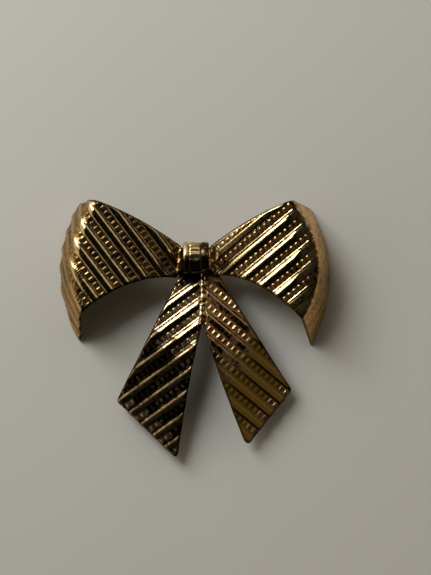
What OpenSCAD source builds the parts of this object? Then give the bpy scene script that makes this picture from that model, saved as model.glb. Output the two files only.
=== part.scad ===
// Bow brooch of a fob watch: two stamped ribbon loops, two tails, a knot band, and the pin and watch hook behind.
// It lies on its back: +Z is the front of the bow, +Y its top, and z = 0 the surface that it rests on.

/* [Bow] */
// Thickness of the stamped sheet
sheet_t = 0.5; // [0.35:0.05:0.6]
// Height of the loops' bends over the rest plane
bend_z = 8.1; // [7:0.1:9]
// Rounding of the bends, measured back from the sharp corner
bend_round = 1.7; // [1:0.1:2.5]
// Knot's place, right of the origin and up from it
knot_at = [0.2, 11.5]; // [-1:0.1:12]

/* [Loops, left and right] */
// Reach of the upper bend corners from the knot
upper_reach = [16.9, 16.0]; // [14:0.1:18]
// Rise of the upper bend corners above the knot
upper_rise = [9.7, 9.6]; // [8:0.1:11]
// Reach of the lower bend corners
lower_reach = [18.9, 17.5]; // [15:0.1:20]
// Drop of the lower bend corners below the knot
lower_drop = [8.9, 9.9]; // [7:0.1:11]
// Bow of the bend line outward from its chord
bend_bulge = [2.5, 3.5]; // [1:0.1:4]
// Reach of the upper end corners, on the rest plane
end_reach = [19.6, 19.1]; // [17:0.1:21]
// Rise of the upper end corners
end_rise = [9.0, 8.5]; // [8:0.1:10]
// Reach of the pointed tips, on the rest plane
tip_reach = [19.3, 19.4]; // [17:0.1:21]
// Drop of the pointed tips
tip_drop = [14.0, 14.7]; // [11:0.1:16]
// Bow of the cut end outward from its chord
end_bulge = [3.2, 3.2]; // [1:0.1:4]

/* [Tails, left and right] */
// Reach of the outer end corners from the knot
tail_reach = [13.0, 15.8]; // [11:0.1:17]
// Drop of the outer end corners
tail_drop = [23.9, 22.1]; // [20:0.1:25]
// Reach of the points, left negative
point_reach = [-3.7, 8.4]; // [-5:0.1:10]
// Drop of the points
point_drop = [32.5, 30.6]; // [28:0.1:34]
// Seam between the tails, right of the knot
seam_x = 1.2; // [0:0.1:2]
// Drop of the fork where the seam ends
fork_drop = 10.8; // [8:0.1:12]
// Height of the tails' ends over the rest plane
tail_end_z = 2.2; // [1:0.1:4]
// Height that pulls the tails up into an arch
tail_arch_z = 8.4; // [6:0.1:9]

/* [Knot] */
// Width of the knot band
knot_w = 4.5; // [4:0.1:5]
// Inner radius of the knot's barrel
knot_r = 1.95; // [1.9:0.05:2.05]
// Height of the barrel's axis over the rest plane
knot_z = 6.5; // [6:0.1:7]

/* [Pin and catch] */
// Length of the pin bar
bar_l = 27; // [25:0.5:29]
// Width of the pin bar
bar_w = 3; // [2.5:0.1:3.4]
// Height of the pin's axis over the rest plane
pin_z = 1.4; // [1.4:0.05:1.5]
// Radius of the pin stem
pin_r = 0.4; // [0.35:0.05:0.4]
// Distance of the hinge rivet from the knot
hinge_reach = 11.5; // [11:0.1:12]
// Distance of the catch's near face from the knot
catch_reach = 10.3; // [10:0.1:10.5]

/* [Hidden] */
$fn = 48;

LEFT = 0;
RIGHT = 1;
half_t = sheet_t / 2;
film = 0.05;                                // solder between two faces
bar_t = 0.7;
bar_back = 3.4;                             // z of the bar's back face
tail_root_z = bar_back + bar_t + film + half_t;
loop_root_z = tail_root_z + sheet_t + film;

gold = [0.64, 0.49, 0.24];
tail_gold = [0.55, 0.41, 0.18];
knot_gold = [0.70, 0.55, 0.28];
plated = [0.72, 0.66, 0.50];
steel = [0.74, 0.73, 0.70];

// ---- sheets: a front and a back grid of points, closed by walls round the edge ----

function unit(v) = v / norm(v);
function mix(a, b, k) = a + (b - a) * k;
function bezier(a, b, c, k) = mix(mix(a, b, k), mix(b, c, k), k);
function lift(p, z) = [p.x, p.y, z];

module closed_sheet(front, back) {
    rows = len(front);
    cols = len(front[0]);
    function f(i, j) = i * cols + j;
    function b(i, j) = (rows + i) * cols + j;
    // The border of the grid, once round
    border = concat([for (j = [0 : cols - 2]) [0, j]], [for (i = [0 : rows - 2]) [i, cols - 1]],
                    [for (j = [cols - 1 : -1 : 1]) [rows - 1, j]], [for (i = [rows - 1 : -1 : 1]) [i, 0]]);
    count = len(border);
    faces = concat(
        [for (i = [0 : rows - 2], j = [0 : cols - 2], k = [0, 1])
            k ? [f(i, j), f(i + 1, j + 1), f(i, j + 1)] : [f(i, j), f(i + 1, j), f(i + 1, j + 1)]],
        [for (i = [0 : rows - 2], j = [0 : cols - 2], k = [0, 1])
            k ? [b(i, j), b(i, j + 1), b(i + 1, j + 1)] : [b(i, j), b(i + 1, j + 1), b(i + 1, j)]],
        [for (n = [0 : count - 1], k = [0, 1])
            let (p = border[n], q = border[(n + 1) % count])
            k ? [f(p[0], p[1]), f(q[0], q[1]), b(q[0], q[1])] : [f(p[0], p[1]), b(q[0], q[1]), b(p[0], p[1])]]);
    polyhedron(points = [for (row = concat(front, back)) each row], faces = faces);
}

// ---- loops: stage 0 to 1 is the front panel, 1 to 2 the bend, 2 to 3 the end turned down ----

loop_sign = [-1, 1];
panel_crown = 0.5;
root_stage = -0.3;                          // the flat root under the knot, widest at its neck
neck_stage = -0.1;
root_half = 1.75;
root_x = [0.06, 2.4];                       // from the middle of the knot out to the neck
upper_start = [2.7, 2.2];
lower_start = [3.2, -2.8];
upper_pull = [0.61, 0.78];                  // shares of the corner's place that shape each edge's curve
lower_pull = 0.56;
lower_dip = -2.2;

function upper_edge(w, u) =
    let (corner = [upper_reach[w], upper_rise[w]])
    bezier(upper_start, [upper_pull.x * corner.x, upper_pull.y * corner.y], corner, u);
function lower_edge(w, u) =
    bezier(lower_start, [lower_pull * lower_reach[w], lower_dip], [lower_reach[w], -lower_drop[w]], u);
function bow_out(v) = 4 * v * (1 - v);
function panel(w, u, v) =
    let (p = mix(upper_edge(w, u), lower_edge(w, u), v) + [bend_bulge[w] * bow_out(v) * u * u, 0])
    lift(p, mix(loop_root_z, bend_z, u) + panel_crown * bow_out(u));
function cut_end(w, v) =
    lift(mix([end_reach[w], end_rise[w]], [tip_reach[w], -tip_drop[w]], v) + [end_bulge[w] * bow_out(v), 0],
         half_t * 0.4);
function bend_start(w, v) = 1 - bend_round / norm(panel(w, 1, v) - panel(w, 0, v));
function neck_point(x, v) = lift([x, root_half * (1 - 2 * v)], loop_root_z);
function loop_centre(w, s, v) =
    let (u = bend_start(w, v), corner = panel(w, 1, v), end = cut_end(w, v),
         turned = corner + unit(end - corner) * bend_round)
    s < neck_stage ? neck_point(mix(root_x[1], root_x[0], (s - neck_stage) / (root_stage - neck_stage)), v) :
    s < 0 ? mix(panel(w, 0, v), neck_point(root_x[1], v), s / neck_stage) :
    s < 1 ? panel(w, u * s, v) :
    s < 2 ? bezier(panel(w, u, v), corner, turned, s - 1) :
    mix(turned, end, s - 2);
function loop_normal(w, s, v) =
    let (e = 0.001, ds = loop_centre(w, s + e, v) - loop_centre(w, s - e, v),
         dv = loop_centre(w, s, v + e) - loop_centre(w, s, v - e))
    s <= 0 ? [0, 0, 1] : unit(cross(dv, ds));
function loop_point(w, s, v, side) =
    let (p = loop_centre(w, s, v) + loop_normal(w, s, v) * side * half_t)
    [knot_at.x + loop_sign[w] * p.x, knot_at.y + p.y, p.z];

module loop(w) {
    stages = concat([root_stage, neck_stage, 0], [for (k = [1 : 7]) k / 7], [for (k = [1 : 4]) 1 + k / 4],
                    [for (k = [1 : 3]) 2 + k / 3]);
    across = 12;
    front = [for (s = stages) [for (j = [0 : across]) loop_point(w, s, j / across, 1)]];
    back = [for (s = stages) [for (j = [0 : across]) loop_point(w, s, j / across, -1)]];
    if (w == RIGHT) closed_sheet(front, back);
    else closed_sheet(back, front);
}

module left_loop() { color(gold) loop(LEFT); }
module right_loop() { color(gold) loop(RIGHT); }

// ---- tails: p runs down the tail from the knot, q from the outer edge to the inner one ----

root_drop = 3.1;                            // the tails are flat down to here
root_top = 0.5;
root_p = 0.06;
fork_p = 0.32;
roof_drop = 1.3;                            // the outer edges fall away from the seam
seam_gap = 0.1;
tail_mid = 0.6;                             // the tails' middle at the knot, right of it
neck_half = [2.6, 3.2];                     // half width of the flat root, and where the tails start
inner_bend = 0.7;

function tail_sign(w) = w == RIGHT ? 1 : -1;
function tail_outer(w, p) =
    p < root_p ? [tail_sign(w) * neck_half[0] + tail_mid, mix(root_top, -root_drop, p / root_p)] :
    mix([tail_sign(w) * neck_half[1] + tail_mid, -root_drop], [tail_sign(w) * tail_reach[w], -tail_drop[w]],
        (p - root_p) / (1 - root_p));
function tail_inner(w, p) =
    let (top = [seam_x + tail_sign(w) * seam_gap / 2, -root_drop], fork = [top.x, -fork_drop],
         end = [point_reach[w], -point_drop[w]])
    p < root_p ? [top.x, mix(root_top, -root_drop, p / root_p)] :
    p < fork_p ? mix(top, fork, (p - root_p) / (fork_p - root_p)) :
    bezier(fork, mix(fork, end, 0.4) - [inner_bend, 0], end, (p - fork_p) / (1 - fork_p));
function tail_height(p, q) =
    p < root_p ? tail_root_z :
    let (k = (p - root_p) / (1 - root_p))
    bezier(tail_root_z, tail_arch_z, tail_end_z, k) - roof_drop * (1 - q) * sin(180 * k);
function tail_centre(w, p, q) = lift(mix(tail_outer(w, p), tail_inner(w, p), q), tail_height(p, q));
function tail_point(w, p, q, side) =
    let (e = 0.001, dp = tail_centre(w, p + e, q) - tail_centre(w, p - e, q),
         dq = tail_centre(w, p, q + e) - tail_centre(w, p, q - e),
         n = p < root_p + e ? [0, 0, 1] : unit(cross(dp, dq)) * tail_sign(w) * -1,
         c = tail_centre(w, p, q) + n * side * half_t)
    [knot_at.x + c.x, knot_at.y + c.y, c.z];

module tail(w) {
    stations = concat([0, root_p], [for (k = [1 : 5]) mix(root_p, fork_p, k / 5)],
                      [for (k = [1 : 10]) mix(fork_p, 1, k / 10)]);
    across = 5;
    front = [for (p = stations) [for (j = [0 : across]) tail_point(w, p, j / across, 1)]];
    back = [for (p = stations) [for (j = [0 : across]) tail_point(w, p, j / across, -1)]];
    if (w == RIGHT) closed_sheet(back, front);
    else closed_sheet(front, back);
}

module left_tail() { color(tail_gold) tail(LEFT); }
module right_tail() { color(tail_gold) tail(RIGHT); }

// ---- knot: a ribbed band rolled over the loops' roots, its top end folded behind the bar ----

band_t = 0.45;
rib_r = 0.62;
rib_proud = 0.12;
fold_z = bar_back - 0.1;                    // front face of the folded end
fold_l = 0.6;                               // how far the fold reaches past the middle

// The band's section: thickness outward along x, width along y
module band_section() {
    intersection() {
        union() {
            translate([0, -knot_w / 2]) square([band_t, knot_w]);
            for (s = [-1, 1]) translate([rib_proud, s * (knot_w / 2 - rib_r)]) circle(r = rib_r);
        }
        translate([0, -knot_w / 2]) square([2, knot_w]);
    }
}

module knot_band() {
    color(knot_gold) translate([knot_at.x, knot_at.y, 0]) {
        translate([0, 0, knot_z]) rotate([90, 0, 90]) rotate_extrude(angle = 180)
            translate([knot_r, 0]) band_section();
        for (s = [1, -1]) {
            foot = s > 0 ? fold_z : tail_root_z + half_t + film;
            translate([0, 0, foot]) linear_extrude(knot_z - foot)
                rotate(s * 90) translate([knot_r, 0]) band_section();
        }
        translate([-knot_w / 2, -fold_l, fold_z - band_t]) cube([knot_w, knot_r + band_t + fold_l, band_t]);
    }
}

// ---- pin bar, hinge, pin and catch, along the x axis behind the knot ----

foot_t = 0.4;
ear_t = 0.45;
ear_gap = 1.0;
ear_r = 0.7;
ear_fit = 0.01;
eye_fit = 0.05;
through = 4;                                // longer than any hole
rivet_r = 0.35;
eye_r = 0.75;
taper_l = 3.2;
ring_r = 1.3;
bore_r = 1.0;
rotor_r = 0.95;
rotor_bore = 0.5;
catch_l = 2.4;
slot_w = 1.2;
lever_l = 1.9;

// Puts a shape at the pin's height, with x measured from the knot
module on_pin(x) translate([knot_at.x + x, knot_at.y, pin_z]) children();
module along_x(l) rotate([0, 90, 0]) linear_extrude(l) children();

module pin_bar() {
    color(plated) translate([knot_at.x, knot_at.y, bar_back]) linear_extrude(bar_t) {
        square([bar_l - bar_w, bar_w], center = true);
        for (s = [-1, 1]) translate([s * (bar_l - bar_w) / 2, 0]) circle(d = bar_w);
    }
}

module hinge_bracket() {
    color(plated) on_pin(-hinge_reach) difference() {
        union() {
            translate([-ear_r, -ear_gap / 2 - ear_t, bar_back - pin_z - foot_t])
                cube([2 * ear_r, ear_gap + 2 * ear_t, foot_t]);
            for (s = [-1, 1]) translate([0, s * (ear_gap + ear_t) / 2, 0]) rotate([90, 0, 0]) {
                cylinder(r = ear_r, h = ear_t, center = true);
                translate([-ear_r, 0, -ear_t / 2]) cube([2 * ear_r, bar_back - pin_z, ear_t]);
            }
        }
        rotate([90, 0, 0]) cylinder(r = rivet_r + ear_fit, h = through, center = true);
    }
}

module hinge_rivet() {
    head_t = 0.25;
    head_r = 0.6;
    span = ear_gap + 2 * ear_t;
    color(plated) on_pin(-hinge_reach) rotate([90, 0, 0]) {
        cylinder(r = rivet_r, h = span + 2 * head_t, center = true);
        for (s = [-1, 1]) translate([0, 0, s * (span + head_t) / 2])
            cylinder(r = head_r, h = head_t, center = true);
    }
}

module pin_stem() {
    start = 0.6;
    straight = hinge_reach + catch_reach - 0.3;
    point_r = 0.06;
    color(steel) on_pin(-hinge_reach) difference() {
        union() {
            rotate([90, 0, 0]) cylinder(r = eye_r, h = ear_gap - 0.1, center = true);
            translate([start, 0, 0]) rotate([0, 90, 0]) cylinder(r = pin_r, h = straight - start);
            translate([straight, 0, 0]) rotate([0, 90, 0]) cylinder(r1 = pin_r, r2 = point_r, h = taper_l);
        }
        rotate([90, 0, 0]) cylinder(r = rivet_r + eye_fit, h = through, center = true);
    }
}

// A ring about the pin's axis, slotted towards the back
module slotted_ring(r, bore, l, slot) {
    along_x(l) difference() {
        circle(r = r);
        circle(r = bore);
        translate([0, -slot / 2]) square([2 * r, slot]);
    }
}

module catch_body() {
    color(plated) on_pin(catch_reach) {
        slotted_ring(ring_r, bore_r, catch_l, slot_w);
        difference() {
            translate([0.5, -0.5, 0]) cube([catch_l - 1, 1, bar_back - pin_z]);
            translate([-1, 0, 0]) along_x(catch_l + 2) circle(r = (ring_r + bore_r) / 2);
        }
        translate([0, -bar_w / 2 + 0.3, bar_back - pin_z - foot_t]) cube([catch_l, bar_w - 0.6, foot_t]);
    }
}

module catch_rotor() {
    collar = 0.7;
    color(plated) on_pin(catch_reach) {
        slotted_ring(rotor_r, rotor_bore, catch_l + 0.1, 1);
        translate([catch_l + 0.1, 0, 0]) slotted_ring(ring_r - 0.05, rotor_bore, collar, 1);
        translate([catch_l + 0.1, 0.8, -0.3]) cube([collar, lever_l - 1.1, 0.6]);
        translate([catch_l + 0.1, lever_l - 0.3, 0]) rotate([0, 90, 0]) cylinder(r = 0.3, h = collar);
    }
}

// ---- watch hook: round wire soldered behind the tails' roots, open towards the top at the back ----

wire_r = 0.4;
hook_r = 1.1;
hook_z = 3.3;
hook_top = 2.4;
hook_drop = 6.4;

module watch_hook() {
    pad_z = bar_back + bar_t;
    color(plated) translate([knot_at.x + seam_x, knot_at.y, 0]) {
        translate([-1.2, -3.1, hook_z]) cube([2.4, 1.5, pad_z - hook_z]);
        translate([0, -hook_drop, hook_z]) rotate([-90, 0, 0]) cylinder(r = wire_r, h = hook_drop - hook_top);
        translate([0, -hook_drop, hook_z - hook_r]) rotate([0, -90, 0]) rotate_extrude(angle = 180, start = 180)
            translate([hook_r, 0]) circle(r = wire_r);
        translate([0, -hook_drop, hook_z - 2 * hook_r]) rotate([-90, 0, 0]) cylinder(r = wire_r, h = 1.6);
        translate([0, -hook_drop + 1.6, hook_z - 2 * hook_r]) sphere(r = 0.55);
    }
}

left_loop();
right_loop();
left_tail();
right_tail();
knot_band();
pin_bar();
hinge_bracket();
hinge_rivet();
pin_stem();
catch_body();
catch_rotor();
watch_hook();
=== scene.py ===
import bpy
import numpy as np
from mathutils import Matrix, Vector


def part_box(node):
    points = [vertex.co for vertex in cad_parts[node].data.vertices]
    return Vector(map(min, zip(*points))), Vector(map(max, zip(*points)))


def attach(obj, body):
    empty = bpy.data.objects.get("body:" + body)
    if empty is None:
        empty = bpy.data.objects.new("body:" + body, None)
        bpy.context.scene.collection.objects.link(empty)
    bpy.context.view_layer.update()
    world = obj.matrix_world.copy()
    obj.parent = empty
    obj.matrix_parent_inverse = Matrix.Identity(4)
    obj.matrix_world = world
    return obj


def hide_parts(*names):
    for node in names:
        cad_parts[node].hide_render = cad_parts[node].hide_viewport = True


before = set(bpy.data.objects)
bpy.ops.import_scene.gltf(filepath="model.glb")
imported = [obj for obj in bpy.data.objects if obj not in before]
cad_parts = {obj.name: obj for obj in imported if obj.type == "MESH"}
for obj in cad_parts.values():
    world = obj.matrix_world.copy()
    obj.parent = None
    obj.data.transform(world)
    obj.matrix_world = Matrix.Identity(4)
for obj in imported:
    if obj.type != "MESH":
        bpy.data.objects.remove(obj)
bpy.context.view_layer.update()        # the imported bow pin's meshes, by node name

MM = 0.001


# ---- arrays of points, in millimetres ----

def mix(a, b, k):
    return a + (b - a) * k


def bezier(a, b, c, k):
    return mix(mix(a, b, k), mix(b, c, k), k)


def unit(v):
    return v / np.maximum(np.linalg.norm(v, axis=-1, keepdims=True), 1e-12)


def bow_out(v):
    return 4 * v * (1 - v)


def ease(k):
    k = np.clip(k, 0, 1)
    return k * k * (3 - 2 * k)


def box_mm(node):
    low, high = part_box(node)
    return np.array(low) / MM, np.array(high) / MM


def grid_normals(points):
    """The unit normals of a grid of points, by its neighbours."""
    return unit(np.cross(np.gradient(points, axis=0), np.gradient(points, axis=1)))


knot_low, knot_high = box_mm("knot_band")
KNOT = (knot_low + knot_high)[:2] / 2
STEP = 0.11                              # spacing of the ribbon's mesh along its length
SHEET = 0.36                             # thickness of the ribbon
ROLL = 0.2                               # how far the front drops at a sheet's edge, and over what width
RIM = 0.3                                # width of the dark rim along the cut edges: edge tarnish and painted shade

# The pattern, across the ribs: each part's middle, from the middle of a milled row, and half its width
MILL_HALF = 0.5
RIB_AT, RIB_HALF, RIB_HEIGHT = -1.57, 0.68, 0.34
LINE_AT, LINE_HALF, LINE_HEIGHT = -0.70, 0.11, 0.11
GROOVE_AT, GROOVE_HALF = 0.68, 0.2       # the foot of the rib on a milled row's other side
BAR_PITCH, BAR_HALF, BAR_HEIGHT, BAR_SLOPE = 1.04, 0.32, 0.09, 0.17      # along a milled row
# The right loop's flat band, from its edge: where it steps down, and its row of notches
BAND_HEIGHT, BAND_STEP_AT = 0.18, 1.05
NOTCH_AT, NOTCH_HALF = 1.55, 0.36


# ---- the pressed pattern: half-round ribs, with a row of milled bars between each two ----

def nearest(across, pitch, at):
    """Signed distance to the nearest of the lines at, at + pitch and so on."""
    return (across - at + pitch / 2) % pitch - pitch / 2


def half_round(distance, half):
    return np.sqrt(np.clip(1 - (distance / half) ** 2, 0, 1))


def flat_topped(distance, half):
    """1 on top, falling to 0 at half over a short slope."""
    return np.clip((half - np.abs(distance)) / BAR_SLOPE, 0, 1)


def across_ribs(flat, angle):
    """Distance across ribs that run at this angle, at each point of the unrolled ribbon."""
    a = np.radians(angle)
    return flat[..., 1] * np.cos(a) - flat[..., 0] * np.sin(a)


def pressed(flat, angle, pitch, row, bars, ribs, band_from=None):
    """Three grids over the unrolled ribbon: the height, 1 in the milled rows and 1 along their grooves.

    row is where the middle of one milled row lies, across the ribs. bars and ribs scale those two alone.
    Past band_from there is one flat band, with notches along its edge."""
    a = np.radians(angle)
    across = across_ribs(flat, angle)
    along = flat[..., 0] * np.cos(a) + flat[..., 1] * np.sin(a)
    from_row = nearest(across, pitch, row)
    bar = flat_topped(nearest(along, BAR_PITCH, 0), BAR_HALF)
    milled = BAR_HEIGHT * bar * flat_topped(from_row, MILL_HALF) * bars
    line = LINE_HEIGHT * half_round(from_row - LINE_AT, LINE_HALF)
    rib = RIB_HEIGHT * half_round(nearest(across, pitch, row + RIB_AT), RIB_HALF) * ribs
    height = np.maximum(np.maximum(milled, line), rib)
    in_row = ease((MILL_HALF + 0.15 - np.abs(from_row)) / 0.2)
    groove = half_round(from_row - GROOVE_AT, GROOVE_HALF)
    if band_from is not None:
        past = across - band_from
        notch = BAR_HEIGHT * bar * flat_topped(past - NOTCH_AT, NOTCH_HALF)
        band = BAND_HEIGHT * ease(past / 0.35) * (1 - 0.6 * ease((past - BAND_STEP_AT) / 0.2)) + notch
        height = np.where(past > 0, band, height)
        in_row = np.where(past > 0, 0, in_row)
    return height, in_row, groove


# ---- meshes: a front and a back grid, closed by walls round the edge ----

def grid_faces(rows, cols, first, flip):
    i, j = np.meshgrid(np.arange(rows - 1), np.arange(cols - 1), indexing="ij")
    a = first + i * cols + j
    quads = np.stack([a, a + cols, a + cols + 1, a + 1], axis=-1).reshape(-1, 4)
    return quads[:, ::-1] if flip else quads


def border_of(rows, cols):
    top = np.arange(cols - 1)
    right = np.arange(rows - 1) * cols + cols - 1
    bottom = (rows - 1) * cols + np.arange(cols - 1, 0, -1)
    left = np.arange(rows - 1, 0, -1) * cols
    return np.concatenate([top, right, bottom, left])


def in_scene(name, data):
    thing = bpy.data.objects.new(name, data)
    bpy.context.scene.collection.objects.link(thing)
    return thing


def smooth_object(name, points, faces):
    mesh = bpy.data.meshes.new(name)
    mesh.vertices.add(len(points))
    mesh.vertices.foreach_set("co", (points * MM).astype(np.float32).ravel())
    mesh.loops.add(faces.size)
    mesh.loops.foreach_set("vertex_index", faces.astype(np.int32).ravel())
    mesh.polygons.add(len(faces))
    mesh.polygons.foreach_set("loop_start", np.arange(0, faces.size, faces.shape[1], dtype=np.int32))
    mesh.update(calc_edges=True)
    mesh.shade_smooth()
    mesh.set_sharp_from_angle(angle=np.radians(60))
    return in_scene(name, mesh)


def closed_sheet(name, front, back, turn):
    """turn is True where the front grid's own normals point in, so that its faces are flipped."""
    rows, cols = front.shape[:2]
    count = rows * cols
    edge = border_of(rows, cols)
    after = np.roll(edge, -1)
    walls = np.stack([edge, after, after + count, edge + count], axis=-1)
    walls = walls[:, ::-1] if turn else walls
    front_faces = grid_faces(rows, cols, 0, turn)
    back_faces = grid_faces(rows, cols, count, not turn)
    faces = np.concatenate([front_faces, back_faces, walls])
    points = np.concatenate([front.reshape(-1, 3), back.reshape(-1, 3)])
    return smooth_object(name, points, faces)


def point_values(piece, name, values):
    attribute = piece.data.attributes.new(name, "FLOAT", "POINT")
    attribute.data.foreach_set("value", np.asarray(values, dtype=np.float32).ravel())


def edge_distance(points):
    """Roughly how far each point of a grid lies from the grid's border, in mm."""
    def run(axis):
        step = np.linalg.norm(np.diff(points, axis=axis), axis=-1)
        pad = [(1, 0), (0, 0)] if axis == 0 else [(0, 0), (1, 0)]
        along = np.cumsum(np.pad(step, pad), axis=axis)
        last = along[-1:, :] if axis == 0 else along[:, -1:]
        return np.minimum(along, last - along)
    return np.minimum(run(0), run(1))


def ribbon_piece(node, middle, normals, height, turn, follow=0.8, **front_values):
    """A pressed sheet in place of a CAD node. Its back follows its front, by this share of the height.

    The values are for the front: row is 1 in the milled rows, worn where rubbed, a dirt value where dirty and
    where shade is painted, matt at the ends turned down, and a black value where shade is painted black. The
    back has 0.3 of each, and none of the painted-black lines and patches."""
    to_edge = edge_distance(middle)
    rolled = ROLL * np.exp(-(to_edge / ROLL) ** 2)
    front = middle + normals * (SHEET / 2 + height - rolled)[..., None]
    back = middle + normals * (height * follow - SHEET / 2 + rolled / 2)[..., None]
    piece = closed_sheet(node + "_ribbed", front, back, turn)
    rise = height / RIB_HEIGHT
    # Near-black along the cut edges, partly edge tarnish and partly painted shade on the edges seen in
    # shadow; the front also carries the painted-shade lines and patches
    edge_tarnish_and_shade = np.exp(-(to_edge / RIM) ** 2)
    point_values(piece, "rise", np.stack([rise, 0.5 - rise / 2]))
    point_values(piece, "edge_tarnish_and_shade", np.stack([np.maximum(edge_tarnish_and_shade, front_values.get("stain", 0.0)), edge_tarnish_and_shade]))
    for name in ("row", "worn", "sooty", "matt"):
        on_front = np.broadcast_to(front_values.get(name, 0.0), rise.shape)
        point_values(piece, name, np.stack([on_front, 0.3 * on_front]))
    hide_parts(node)
    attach(piece, "bow")
    return piece


# ---- loops: v runs across the ribbon, from its upper edge to its lower one ----

# Stage s along the ribbon: -2 to 0 is the neck in the knot, 0 to 1 the front, 1 to 2 the bend and 2 to 3 the
# end turned down. Each span is (from, to, length in mm)
LOOP_SPANS = ((-2, -1, 1.2), (-1, 0, 1.2), (0, 1, 18.3), (1, 2, 1.9), (2, 3, 7.9))
LOOP_COLUMNS = 178
LOOP_ROOT_Z, BEND_Z, CROWN = 4.95, 8.1, 0.5      # heights at the knot and at the bend, and the arch between
ROOT_HALF, ROOT_X, NECK_X = 1.75, 0.06, 2.3      # the neck's half width, and its two ends along X
UPPER_START, LOWER_START_X = (2.7, 2.2), 3.2     # where the front's two edges leave the knot
END_BULGE, END_Z = 3.2, 0.1                      # the end's bulge outward, and its height
LOOPS = {
    "left_loop": dict(sign=-1, upper=(16.9, 9.7), lower=(18.9, -8.9), bulge=2.5, end=(19.6, 9.0),
                      tip=(19.3, -14.0), low_root=-3.3, gather=0.25, bend_round=1.7, end_relief=1.0,
                      angle=-53, pitch=2.85, row=-0.26, bars=1.0, smooth_to=2.4, rib_end=1.2, rib_past=0.8,
                      band_from=None),
    "right_loop": dict(sign=1, upper=(16.0, 9.6), lower=(17.5, -9.9), bulge=3.5, end=(19.1, 8.5),
                       tip=(19.4, -14.7), low_root=-2.9, gather=0.12, bend_round=1.0, end_relief=0.5,
                       angle=39.5, pitch=2.85, row=2.55, bars=1.1, smooth_to=3.3, rib_end=0.86, rib_past=0.25,
                       band_from=6.05),
}


def with_z(xy, z):
    return np.concatenate([xy, np.broadcast_to(z, xy.shape[:-1])[..., None]], axis=-1)


def panel(loop, u, v):
    """Points of the front's middle surface, with the knot at the origin and the loop on the +X side."""
    upper, lower = np.array(loop["upper"]), np.array(loop["lower"])
    u, v = np.broadcast_arrays(u, v)
    top = bezier(np.array(UPPER_START), upper * (0.61, 0.78), upper, u[..., None])
    low_start, low_pull = np.array([LOWER_START_X, loop["low_root"]]), np.array([0.56 * lower[0], -2.4])
    low = bezier(low_start, low_pull, lower, u[..., None])
    xy = mix(top, low, v[..., None])
    xy = xy + np.stack([loop["bulge"] * bow_out(v) * u * u, 0 * u], axis=-1)
    return with_z(xy, mix(LOOP_ROOT_Z, BEND_Z, u) + CROWN * bow_out(u))


def loop_middle(loop, s, v):
    """Points of the sheet's middle and of its unrolled pattern, in the frame."""
    s, v = np.broadcast_arrays(s, v)
    corner = panel(loop, np.ones_like(v), v)
    end_xy = mix(np.array(loop["end"]), np.array(loop["tip"]), v[..., None])
    end_xy = end_xy + np.stack([END_BULGE * bow_out(v), 0 * v], axis=-1)
    end = with_z(end_xy, END_Z)
    bend_u = 1 - loop["bend_round"] / np.linalg.norm(corner - panel(loop, np.zeros_like(v), v), axis=-1)
    turned = corner + unit(end - corner) * loop["bend_round"]
    neck = with_z(np.stack([np.full_like(v, NECK_X), ROOT_HALF * (1 - 2 * v)], axis=-1), LOOP_ROOT_Z)
    root = neck + np.array([ROOT_X - NECK_X, 0, 0])
    first = panel(loop, bend_u, v)
    start = panel(loop, np.zeros_like(v), v)
    k = s[..., None]
    gathered = np.array([0, 0, 1]) * loop["gather"] * bow_out(np.clip(-k, 0, 1))
    middle = np.where(k < -1, mix(neck, root, -1 - k),
             np.where(k < 0, mix(start, neck, -k) + gathered,
             np.where(k < 1, panel(loop, bend_u * s, v),
             np.where(k < 2, bezier(first, corner, turned, k - 1), mix(turned, end, k - 2)))))
    # Past the bend the pattern is unrolled about the bend line, so that it runs on over it
    tangent = unit(np.gradient(corner[..., :2], axis=1))
    outward = np.stack([-tangent[..., 1], tangent[..., 0]], axis=-1)

    def unrolled(p):
        d = p - corner
        a = (d[..., :2] * tangent).sum(-1)
        b = np.sqrt(np.maximum((d ** 2).sum(-1) - a ** 2, 0))
        return corner[..., :2] + tangent * a[..., None] + outward * b[..., None]

    flat = np.where(k < 1, middle[..., :2],
           np.where(k < 2, mix(first[..., :2], unrolled(turned), k - 1), unrolled(middle)))
    flip = np.array([loop["sign"], 1])
    middle = middle * (*flip, 1) + (*KNOT, 0)
    return middle, flat * flip + KNOT


def stages(*spans):
    """Values along a sheet, with each (from, to, length in mm) cut into steps of about STEP."""
    runs = [np.linspace(a, b, max(2, round(length / STEP)), endpoint=False) for a, b, length in spans]
    return np.concatenate(runs + [[spans[-1][1]]])


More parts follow.
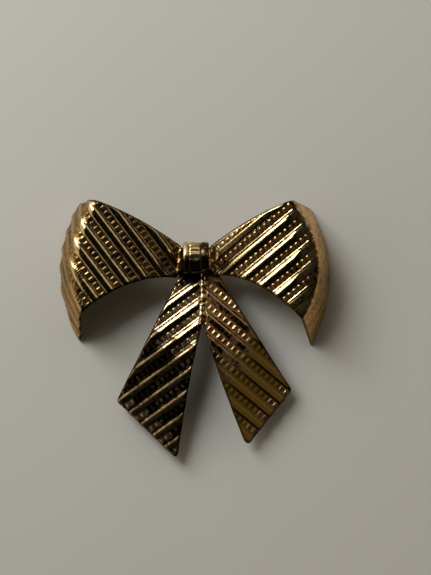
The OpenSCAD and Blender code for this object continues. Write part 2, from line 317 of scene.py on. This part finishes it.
def make_loop(name):
    loop = LOOPS[name]
    s = stages(*LOOP_SPANS)[:, None]
    v = np.linspace(0, 1, LOOP_COLUMNS)[None, :]
    middle, flat = loop_middle(loop, s, v)
    normals = grid_normals(middle) * -loop["sign"]
    s, v = np.broadcast_arrays(s, v)
    ribs = mix(1, loop["rib_past"], ease((s - loop["rib_end"]) / 0.07))
    height, row, _ = pressed(flat, loop["angle"], loop["pitch"], loop["row"], loop["bars"], ribs,
                             loop["band_from"])
    out = np.abs(middle[..., 0] - KNOT[0])
    at_end = ease((s - 0.93) / 0.25)
    ribbed = ease((out - loop["smooth_to"]) / 0.7)
    creases = 0.09 * np.sin(middle[..., 1] * 4.1 + 1.2 * np.sin(out * 5)) * ease(-s / 0.2)
    height = height * ribbed * mix(1, loop["end_relief"], at_end) + np.maximum(creases, 0)
    # Painted shade near the knot, on the root's lower side and inside the knot
    sooty = 0.5 * ease((0.05 - s) / 0.06) * ease((v - 0.3) / 0.5) + 0.6 * ease((-0.9 - s) / 0.2)
    worn = 0.5 * ease((0.05 - s) / 0.1)
    matt = 0.7 * ease((s - 1.35) / 0.4) + 0.9 * ease((-0.05 - s) / 0.2)
    if loop["band_from"] is not None:
        past = across_ribs(flat, loop["angle"]) - loop["band_from"]
        matt = np.maximum(matt, 0.45 * ease(past / 0.3) * ease((0.8 - s) / 0.5))
    # The back follows the ribs less where the sheet bends
    at_bend = ease((s - 0.85) / 0.1) * ease((2.3 - s) / 0.2)
    return ribbon_piece(name, middle, normals, height, loop["sign"] > 0, mix(0.8, 0.25, at_bend),
                        row=row * ribbed, worn=worn, sooty=sooty, matt=matt)


# ---- tails: p runs down from the knot, q from the outer edge to the seam ----

TAIL_ROOT_Z, TAIL_END_Z = 4.4, 2.2
CREST, CREST_Z = 0.42, 6.05              # the crease across the tails: its place and its height
ROOF = 0.8                               # how far the outer edge falls below the seam
ROOT_P, FORK_P = 0.06, 0.32              # p at the knot's lower side and where the tails part
ROOT_TOP, ROOT_DROP, FORK_DROP = 0.5, 3.1, 10.8
ROOT_OUT, SEAM_X, TAIL_MID = 3.4, 1.2, 0.6
TAIL_SPANS = ((0, ROOT_P, 3.6), (ROOT_P, FORK_P, 7.7), (FORK_P, 1, 19.5))
TAIL_COLUMNS = 95
TAIL_LENGTH = 27.0                       # rough, for rounding the corners
TAIL_CORNERS = ((0, 0.6), (1, 1.0))      # q of each lower corner, and its radius
# On the lower halves, painted shade darkens the left tail and a matt crust covers the right one, with lines
# and a patch of painted shade
TAILS = {
    "left_tail": dict(sign=-1, reach=13.3, drop=23.9, point=(-3.1, -33.8), angle=36, pitch=2.72, row=-1.27,
                      down_bars=1.3, low_bars=1.1, low_ribs=1.0, low_slant=0.0, low_crust_and_shade=0.45, low_stain=0.0,
                      rib_soot=0.0),
    "right_tail": dict(sign=1, reach=16.1, drop=22.1, point=(8.5, -31.6), angle=-40, pitch=2.79, row=1.42,
                       down_bars=1.7, low_bars=0.6, low_ribs=0.8, low_slant=0.16, low_crust_and_shade=1.1, low_stain=1.0,
                       rib_soot=0.45),
}


def tail_height(k):
    """Up from the knot to a blunt crease, then down to the end."""
    up, down = CREST_Z - TAIL_ROOT_Z, TAIL_END_Z - CREST_Z
    sharp = np.where(k < CREST, TAIL_ROOT_Z + up * k / CREST, CREST_Z + down * (k - CREST) / (1 - CREST))
    return sharp - 0.45 * np.exp(-((k - CREST) / 0.09) ** 2) + 0.35 * np.sin(np.pi * k)


def rounded_corners(p, q, length, widths, radii):
    """Draws a grid's two far corners, at p = 1, in to round them."""
    for at, radius in radii:
        a, b = (1 - p) * length, np.abs(at - q) * widths
        x, y = np.clip(1 - a / radius, 0, 1), np.clip(1 - b / radius, 0, 1)
        a = a + radius * x * (1 - np.sqrt(1 - y * y / 2))
        b = b + radius * y * (1 - np.sqrt(1 - x * x / 2))
        p = 1 - a / length
        q = np.where(x * y > 0, at + (b / widths) * (1 if at == 0 else -1), q)
    return p, q


def tail_middle(tail, p, q):
    """Points of a tail's middle surface, in the frame."""
    p, q = np.broadcast_arrays(p, q)
    sign, down = tail["sign"], p / ROOT_P
    after = (p - ROOT_P) / (1 - ROOT_P)
    root_y = mix(ROOT_TOP, -ROOT_DROP, down)
    root_outer = np.stack([0 * p + sign * ROOT_OUT + TAIL_MID, root_y], axis=-1)
    corner = np.array([sign * tail["reach"], -tail["drop"]])
    outer = mix(np.array([sign * ROOT_OUT + TAIL_MID, -ROOT_DROP]), corner, after[..., None])
    outer = np.where(p[..., None] < ROOT_P, root_outer, outer)
    seam = SEAM_X + sign * 0.05
    to_fork = mix(-ROOT_DROP, -FORK_DROP, (p - ROOT_P) / (FORK_P - ROOT_P))
    seam_line = np.stack([0 * p + seam, np.where(p < ROOT_P, root_y, to_fork)], axis=-1)
    fork, point = np.array([seam, -FORK_DROP]), np.array(tail["point"])
    apart = bezier(fork, mix(fork, point, 0.4) - (0.7, 0), point, ((p - FORK_P) / (1 - FORK_P))[..., None])
    inner = np.where(p[..., None] < FORK_P, seam_line, apart)
    k = np.clip(after, 0, 1)
    z = tail_height(k) - ROOF * (1 - q) * np.sin(np.pi * k)
    return with_z(mix(outer, inner, q[..., None]) + KNOT, z)


def make_tail(name):
    tail = TAILS[name]
    p = stages(*TAIL_SPANS)[:, None]
    q = np.linspace(0, 1, TAIL_COLUMNS)[None, :]
    middle = tail_middle(tail, p, q)
    width = np.linalg.norm(middle[:, -1] - middle[:, 0], axis=-1)[:, None]
    p, q = rounded_corners(*np.broadcast_arrays(p, q), TAIL_LENGTH, width, TAIL_CORNERS)
    middle = tail_middle(tail, p, q)
    normals = grid_normals(middle) * -tail["sign"]
    low = ease((p - 0.42 - tail["low_slant"] * ease(q / 0.5)) / 0.2)
    at_end = ease((p - 0.9) / 0.03)
    bars = mix(1, tail["down_bars"], ease((p - 0.34) / 0.1))
    bars = mix(mix(bars, tail["low_bars"], low), tail["down_bars"], at_end)
    ribs = mix(1, tail["low_ribs"], low)
    height, row, groove = pressed(middle[..., :2], tail["angle"], tail["pitch"], tail["row"], bars, ribs)
    from_seam = (1 - q) * width
    by_seam = ease((from_seam - 0.25) / 0.5)
    height = height * ease((p - 0.05) / 0.05) * np.where(p < FORK_P + 0.01, by_seam, 1)
    # Painted shade under the knot at the root; on the lower half, painted shade on the left tail and a matt
    # crust on the right one
    sooty = 0.9 * ease((0.13 - p) / 0.1) + tail["low_crust_and_shade"] * low * (1 - row * at_end)
    sooty = sooty + tail["rib_soot"] * (height / RIB_HEIGHT) * (1 - low) * (1 - row)
    worn = 0.4 * np.exp(-((p - 0.3) / 0.15) ** 2)
    # Painted shade drawn black: along the grooves of the lower half and in a patch by the seam
    shaded_patch = np.exp(-(from_seam / 1.2) ** 2 - ((p - 0.54) / 0.07) ** 2)
    stain = tail["low_stain"] * np.maximum(groove * low, shaded_patch)
    return ribbon_piece(name, middle, normals, height, tail["sign"] > 0,
                        row=row, worn=worn, sooty=sooty, stain=stain)


# ---- seam: a smooth half-round ridge from the knot to the fork ----

def make_seam():
    """The left tail's edge, rolled over the right one's, in two runs with a dent where they join."""
    half, tall, joint = 0.5, 0.34, 0.205
    p = np.linspace(ROOT_P * 0.6, FORK_P + 0.012, 110)[:, None]
    k = np.linspace(-1, 1, 19)[None, :]
    top = tail_middle(TAILS["left_tail"], p, np.ones_like(k))
    p, k = np.broadcast_arrays(p, k)
    dent = 1 - 0.45 * np.exp(-((p - joint) / 0.006) ** 2)
    uneven = 1 + 0.1 * np.sin(p * 75) + 0.05 * np.sin(p * 190)
    full = ease((FORK_P + 0.02 - p) / 0.02) * uneven * dent
    shift = mix(0.1, -0.1, ease((p - joint) / 0.02))
    profile = (1 - 0.98 * np.abs(k) ** 3) ** 0.6
    offset = np.stack([k * half * full + shift, 0 * k, SHEET / 2 + tall * full * profile], axis=-1)
    front = top + offset
    back = top + offset * (1, 1, 0) + (0, 0, SHEET / 2 - 0.05)
    piece = closed_sheet("seam_ridge", front, back, turn=False)
    sides = 0.8 * np.abs(k) ** 6
    point_values(piece, "rise", np.stack([1 - sides, 0 * k]))
    point_values(piece, "worn", np.stack([0.8 + 0 * k, 0 * k]))
    # Painted shade where the seam runs under the knot
    point_values(piece, "sooty", np.stack([0.8 * ease((0.09 - p) / 0.05), 0 * k]))
    point_values(piece, "matt", np.stack([0.5 + 0 * k, 0 * k]))
    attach(piece, "bow")
    return piece


# ---- knot: a strip rolled into a barrel, two smooth ribs and a milled row between them ----

BARREL_R, BARREL_Z, FOLD_Z, BAND_T = 1.95, 6.5, 3.3, 0.3
FOLD_R, FOLD_END = 0.35, -0.6
# Across the knot: each rib's middle, half its width and its height, then the ladder between them
LEFT_RIB, RIGHT_RIB = (-1.66, 0.44, 0.46), (1.46, 0.84, 0.44)
LADDER_AT, LADDER_HALF, LADDER_HEIGHT = -0.2, 1.08, 0.2
RUNG_PITCH, RUNG_HALF, RUNG_HEIGHT = 0.86, 0.3, 0.17
KNOT_RISE = 0.48                         # the height at which the finish counts as fully raised


def knot_path():
    """Points (y, z) of the strip's inner face, and its outward normals there.

    It runs up from a foot on the tails, over the top, down at +Y and back along the fold behind."""
    foot = TAIL_ROOT_Z + SHEET / 2 + 0.08
    runs = []
    for z in np.linspace(foot, BARREL_Z, 16, endpoint=False):
        runs.append((np.array([-BARREL_R, z]), np.array([-1.0, 0.0])))
    for a in np.linspace(np.pi, 0, 90):
        out = np.array([np.cos(a), np.sin(a)])
        runs.append((np.array([0, BARREL_Z]) + BARREL_R * out, out))
    for z in np.linspace(BARREL_Z, FOLD_Z + FOLD_R, 28)[1:]:
        runs.append((np.array([BARREL_R, z]), np.array([1.0, 0.0])))
    for a in np.linspace(0, -np.pi / 2, 14)[1:]:
        out = np.array([np.cos(a), np.sin(a)])
        runs.append((np.array([BARREL_R - FOLD_R, FOLD_Z + FOLD_R]) + FOLD_R * out, out))
    for y in np.linspace(BARREL_R - FOLD_R, FOLD_END, 20)[1:]:
        runs.append((np.array([y, FOLD_Z]), np.array([0.0, -1.0])))
    points, normals = zip(*runs)
    return np.array(points), np.array(normals)


def knot_rib(x, rib):
    middle, half, height = rib
    return height * half_round(x - middle, half)


def make_knot():
    path, out = knot_path()
    run = np.concatenate([[0], np.cumsum(np.linalg.norm(np.diff(path, axis=0), axis=-1))])
    half = (knot_high - knot_low)[0] / 2 - 0.05
    x = np.linspace(0.12 - half, half, 130)
    ribs = np.maximum(knot_rib(x, LEFT_RIB), knot_rib(x, RIGHT_RIB))
    ladder = np.clip(1.1 * (1 - np.abs((x - LADDER_AT) / LADDER_HALF) ** 4), 0, 1)
    rungs = RUNG_HEIGHT * half_round(nearest(run, RUNG_PITCH, 0.2), RUNG_HALF)[:, None]
    height = np.maximum(ribs[None, :], LADDER_HEIGHT * ladder + rungs * ladder)
    front = np.empty((len(path), len(x), 3))
    back = np.empty_like(front)
    front[..., 0] = back[..., 0] = KNOT[0] + x[None, :]
    for k in (0, 1):
        front[..., 1 + k] = path[:, None, k] + out[:, None, k] * (BAND_T + height)
        back[..., 1 + k] = path[:, None, k] + 0 * height
    front[..., 1] += KNOT[1]
    back[..., 1] += KNOT[1]
    piece = closed_sheet("knot_milled", front, back, turn=False)
    rise = height / KNOT_RISE
    # Painted shade: darker on the barrel's lower side and on its right side
    low = ease((0.4 - path[:, None, 0]) / 1.2) + 0 * height
    shaded_right_side = ease((x[None, :] - 0.5) / 0.4) + 0 * height
    point_values(piece, "rise", np.stack([rise, 0 * rise]))
    point_values(piece, "row", np.stack([0.6 * ladder + 0 * rise, 0 * rise]))
    point_values(piece, "sooty", np.stack([np.maximum(0.9 * low, 0.8 * shaded_right_side), 0 * rise]))
    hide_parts("knot_band")
    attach(piece, "bow")
    return piece


# ---- materials ----

class Shader:
    """A material's nodes, added one at a time."""

    def __init__(self, name):
        self.material = bpy.data.materials.new(name)
        self.material.use_nodes = True
        self.tree = self.material.node_tree
        self.surface = self.tree.nodes["Principled BSDF"]
        self.place = self.tree.nodes.new("ShaderNodeTexCoord").outputs["Object"]

    def put(self, socket, value):
        if isinstance(value, bpy.types.NodeSocket):
            self.tree.links.new(value, socket)
        else:
            socket.default_value = value

    def noise(self, scale, detail, distortion=0.0):
        """Noise with about this many blobs to a millimetre."""
        node = self.tree.nodes.new("ShaderNodeTexNoise")
        node.inputs["Scale"].default_value = scale / MM
        node.inputs["Detail"].default_value = detail
        node.inputs["Distortion"].default_value = distortion
        self.tree.links.new(self.place, node.inputs["Vector"])
        return node.outputs["Fac"]

    def value(self, name):
        node = self.tree.nodes.new("ShaderNodeAttribute")
        node.attribute_name = name
        return node.outputs["Fac"]

    def math(self, kind, a, b, clamp=False):
        node = self.tree.nodes.new("ShaderNodeMath")
        node.operation = kind
        node.use_clamp = clamp
        self.put(node.inputs[0], a)
        self.put(node.inputs[1], b)
        return node.outputs[0]

    def spread(self, value, low, high, to_low=0.0, to_high=1.0):
        """to_low where the value is low or less, to_high where it is high or more, and even between."""
        node = self.tree.nodes.new("ShaderNodeMapRange")
        self.put(node.inputs["Value"], value)
        self.put(node.inputs["From Min"], low)
        self.put(node.inputs["From Max"], high)
        self.put(node.inputs["To Min"], to_low)
        self.put(node.inputs["To Max"], to_high)
        return node.outputs["Result"]

    def blend(self, amount, a, b):
        node = self.tree.nodes.new("ShaderNodeMix")
        node.data_type = "RGBA"
        self.put(node.inputs["Factor"], amount)
        self.put(node.inputs["A"], a)
        self.put(node.inputs["B"], b)
        return node.outputs["Result"]

    def bump(self, height, depth_mm, strength):
        node = self.tree.nodes.new("ShaderNodeBump")
        node.inputs["Strength"].default_value = strength
        node.inputs["Distance"].default_value = depth_mm * MM
        self.tree.links.new(height, node.inputs["Height"])
        self.tree.links.new(node.outputs["Normal"], self.surface.inputs["Normal"])


# Near-black for painted shade, edge tarnish and soot
SHADE_AND_SOOT_BLACK = (0.012, 0.007, 0.003, 1)


def scaled(colour, k):
    return (*(c * k for c in colour[:3]), 1)


def aged_gold(name, clean, brown, dark, tan, grime_and_shade, shine=0.12, dull=0.22, crust=0.9):
    """Old plating: clean on the ribs, brown in the milled rows, dark in the grooves, and near-black at cut
    edges (edge tarnish and painted shade) and where shade is painted black.

    tan is the colour of the matt places. grime is the tarnish all over; the loops' two copies differ in it
    and in tan as painted shade and painted light. shine and dull are the roughness where clean and where
    tarnished, and crust is how metallic the tarnish stays."""
    s = Shader(name)
    rise, worn, row, edge_tarnish_and_shade = s.value("rise"), s.value("worn"), s.value("row"), s.value("edge_tarnish_and_shade")
    sooty, matt = s.value("sooty"), s.value("matt")
    patches, specks, grit = s.noise(0.30, 4, 0.6), s.noise(1.8, 4), s.noise(9, 2)
    tarnish = s.math("SUBTRACT", grime_and_shade, s.math("MULTIPLY", rise, 0.7))
    tarnish = s.math("ADD", tarnish, s.spread(patches, 0.3, 0.7, -0.25, 0.25))
    tarnish = s.math("ADD", tarnish, s.spread(specks, 0.3, 0.7, -0.2, 0.2))
    tarnish = s.math("SUBTRACT", tarnish, s.math("MULTIPLY", worn, 0.3))
    # Dirt and painted shade darken it, less where matt
    tarnish = s.math("ADD", tarnish, s.math("SUBTRACT", sooty, s.math("MULTIPLY", matt, 0.25)))
    tarnish = s.math("MAXIMUM", tarnish, edge_tarnish_and_shade, clamp=True)
    browned = s.math("ADD", s.math("MULTIPLY", row, 0.85), s.spread(specks, 0.4, 0.7, -0.1, 0.4))
    browned = s.math("MAXIMUM", browned, matt, clamp=True)
    colour = s.blend(browned, clean, s.blend(matt, brown, tan))
    crusted = s.blend(s.spread(rise, 0.0, 0.2), scaled(dark, 0.35), dark)
    colour = s.blend(s.spread(tarnish, 0.35, 0.95), colour, crusted)
    # Near-black at the cut edges and where shade is painted black
    s.put(s.surface.inputs["Base Color"], s.blend(s.math("MULTIPLY", edge_tarnish_and_shade, 0.9), colour, SHADE_AND_SOOT_BLACK))
    s.surface.inputs["Specular Tint"].default_value = (1.0, 0.92, 0.78, 1)
    metal = s.spread(tarnish, 0.3, 0.85, 1.0, crust)
    metal = s.math("MAXIMUM", s.math("SUBTRACT", metal, s.math("MULTIPLY", row, 0.12)), edge_tarnish_and_shade, clamp=True)
    s.put(s.surface.inputs["Metallic"], metal)
    dulled = s.math("MAXIMUM", s.spread(specks, 0.45, 0.7), s.spread(tarnish, 0.3, 0.9))
    roughness = s.spread(dulled, 0.0, 1.0, shine, dull)
    roughness = s.math("ADD", roughness, s.spread(grit, 0.3, 0.7, -0.03, 0.05))
    roughness = s.math("ADD", roughness, s.math("MULTIPLY", matt, 0.16))
    s.put(s.surface.inputs["Roughness"], roughness)
    s.bump(s.math("ADD", grit, s.math("MULTIPLY", specks, 2.5)), 0.012, 0.6)
    return s.material


def plated_fitting(name, colour, stain, smooth):
    """Metal of this roughness where clean, stained in patches and specks."""
    s = Shader(name)
    patches, specks, grit = s.noise(0.5, 4, 0.4), s.noise(3.0, 4), s.noise(11, 2)
    dirt = s.math("ADD", s.spread(patches, 0.45, 0.75), s.spread(specks, 0.55, 0.75, 0, 0.5), clamp=True)
    s.put(s.surface.inputs["Base Color"], s.blend(dirt, colour, stain))
    s.surface.inputs["Metallic"].default_value = 1.0
    roughness = s.spread(dirt, 0, 1, smooth, smooth + 0.25)
    roughness = s.math("ADD", roughness, s.spread(grit, 0.3, 0.7, -0.04, 0.06))
    s.put(s.surface.inputs["Roughness"], roughness)
    s.bump(grit, 0.008, 0.5)
    return s.material


def pale_floor():
    s = Shader("pale_floor")
    clouds = s.noise(0.012, 2)
    s.put(s.surface.inputs["Base Color"], s.blend(clouds, (0.46, 0.46, 0.44, 1), (0.50, 0.50, 0.485, 1)))
    s.surface.inputs["Roughness"].default_value = 0.45
    # Clear from below, so that the bow's back can be looked at too
    nodes, links = s.tree.nodes, s.tree.links
    sides = nodes.new("ShaderNodeMixShader")
    links.new(nodes.new("ShaderNodeNewGeometry").outputs["Backfacing"], sides.inputs[0])
    links.new(s.surface.outputs["BSDF"], sides.inputs[1])
    links.new(nodes.new("ShaderNodeBsdfTransparent").outputs["BSDF"], sides.inputs[2])
    links.new(sides.outputs["Shader"], nodes["Material Output"].inputs["Surface"])
    return s.material


# ---- fittings behind: the CAD solids with their edges eased ----

EASED, WELD = 0.05, 0.002        # how far an edge is rounded, and how near points are merged first


def eased_copy(node, material, body):
    """A copy of a CAD node's mesh with rounded edges, which replaces it."""
    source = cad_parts[node]
    piece = source.copy()
    piece.data = source.data.copy()
    piece.name = node + "_eased"
    piece.parent = None
    piece.matrix_world = source.matrix_world.copy()
    bpy.context.scene.collection.objects.link(piece)
    weld = piece.modifiers.new("weld", "WELD")
    weld.merge_threshold = WELD * MM
    ease_edges = piece.modifiers.new("ease", "BEVEL")
    ease_edges.width = EASED * MM
    ease_edges.segments = 3
    ease_edges.limit_method = "ANGLE"
    ease_edges.angle_limit = np.radians(35)
    piece.data.materials.clear()
    piece.data.materials.append(material)
    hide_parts(node)
    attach(piece, body)
    return piece


# ---- stage: floor, lamps and camera ----

def make_floor(material):
    half = 1.2
    corners = [(-half, -half, 0), (half, -half, 0), (half, half, 0), (-half, half, 0)]
    mesh = bpy.data.meshes.new("floor")
    mesh.from_pydata(corners, [], [(0, 1, 2, 3)])
    mesh.materials.append(material)
    floor = in_scene("floor", mesh)


def soft_lamp(name, place, size, watts, colour):
    """A rectangular lamp that faces the bow."""
    data = bpy.data.lights.new(name, "AREA")
    data.shape = "RECTANGLE"
    data.size, data.size_y = size
    data.energy = watts
    data.color = colour
    lamp = in_scene(name, data)
    lamp.location = place
    lamp.rotation_euler = (Vector((0, 0, 0)) - Vector(place)).to_track_quat("-Z", "Y").to_euler()


def make_lights():
    """A window up and to the left and a pale wall up and to the right.

    The room round them is bright low down at the upper left and dark overhead."""
    soft_lamp("window", (-0.22, 0.28, 0.28), (0.20, 0.28), 1.9, (1.0, 1.0, 0.97))
    soft_lamp("wall", (0.48, 0.46, 0.44), (0.45, 0.40), 0.36, (1.0, 0.90, 0.74))
    world = bpy.data.worlds.new("room")
    world.use_nodes = True
    nodes, links = world.node_tree.nodes, world.node_tree.links
    direction = nodes.new("ShaderNodeTexCoord").outputs["Generated"]
    from_dark = nodes.new("ShaderNodeVectorMath")
    from_dark.operation = "DOT_PRODUCT"
    from_dark.inputs[1].default_value = (0.36, -0.44, 0.82)
    ramp = nodes.new("ShaderNodeMapRange")
    ramp.interpolation_type = "SMOOTHSTEP"
    for name, value in (("From Min", -0.1), ("From Max", 0.6), ("To Min", 1.15), ("To Max", 0.004)):
        ramp.inputs[name].default_value = value
    links.new(direction, from_dark.inputs[0])
    links.new(from_dark.outputs["Value"], ramp.inputs["Value"])
    background = nodes["Background"]
    background.inputs["Color"].default_value = (1.0, 0.86, 0.66, 1)
    links.new(ramp.outputs["Result"], background.inputs["Strength"])
    bpy.context.scene.world = world
    bpy.context.scene.view_settings.view_transform = "Standard"


def make_camera():
    """Straight above the bow, a little right of and above its middle, as a hand-held camera saw it."""
    view_height, distance, focus_height, right, up = 95.8, 400, 5, 3.5, 6.6
    data = bpy.data.cameras.new("camera")
    data.sensor_fit = "VERTICAL"
    data.sensor_height = 36
    data.lens = data.sensor_height * (distance - focus_height) / view_height
    data.clip_start = 0.01
    camera = in_scene("camera", data)
    camera.location = (right * MM, up * MM, distance * MM)
    bpy.context.scene.camera = camera


make_camera()
make_lights()
make_floor(pale_floor())

loop_colours = dict(clean=(0.54, 0.42, 0.215, 1), brown=(0.28, 0.155, 0.053, 1),
                    dark=(0.025, 0.014, 0.006, 1))
# The loops' two copies are painted as shaded and lit: the left one more tarnished with a dark end, the right
# one's end painted bright tan
left_loop_gold = aged_gold("left_loop_gold", **loop_colours, tan=(0.29, 0.145, 0.036, 1), grime_and_shade=0.74)
right_loop_gold = aged_gold("right_loop_gold", **loop_colours, tan=(1.0, 0.57, 0.21, 1), grime_and_shade=0.68)
# The left tail's near-black dark colour paints shade on its lower half
left_tail_gold = aged_gold("left_tail_gold", clean=(0.46, 0.35, 0.20, 1), brown=(0.43, 0.29, 0.15, 1),
                           dark=(0.010, 0.007, 0.004, 1), tan=(0.60, 0.42, 0.22, 1),
                           grime_and_shade=0.70, shine=0.11, dull=0.16)
right_tail_gold = aged_gold("right_tail_gold", clean=(0.22, 0.135, 0.07, 1), brown=(0.34, 0.20, 0.085, 1),
                            dark=(0.130, 0.071, 0.011, 1), tan=(0.5, 0.33, 0.15, 1),
                            grime_and_shade=0.66, shine=0.14, dull=0.32, crust=0.15)
knot_gold = aged_gold("knot_gold", clean=(0.60, 0.48, 0.27, 1), brown=(0.38, 0.26, 0.12, 1),
                      dark=SHADE_AND_SOOT_BLACK, tan=(0.5, 0.33, 0.15, 1), grime_and_shade=0.75)
fitting_gold = plated_fitting("fitting_gold", (0.72, 0.56, 0.32, 1), (0.26, 0.17, 0.08, 1), smooth=0.22)
pin_steel = plated_fitting("pin_steel", (0.60, 0.58, 0.53, 1), (0.30, 0.26, 0.20, 1), smooth=0.18)

for name, material in (("left_loop", left_loop_gold), ("right_loop", right_loop_gold)):
    piece = make_loop(name)
    piece.data.materials.append(material)
for name, material in (("left_tail", left_tail_gold), ("right_tail", right_tail_gold)):
    piece = make_tail(name)
    piece.data.materials.append(material)
seam = make_seam()
seam.data.materials.append(left_tail_gold)
knot = make_knot()
knot.data.materials.append(knot_gold)

for node in ("pin_bar", "hinge_bracket", "hinge_rivet", "catch_body", "watch_hook"):
    eased_copy(node, fitting_gold, "bow")
eased_copy("catch_rotor", fitting_gold, "rotor")
eased_copy("pin_stem", pin_steel, "pin")
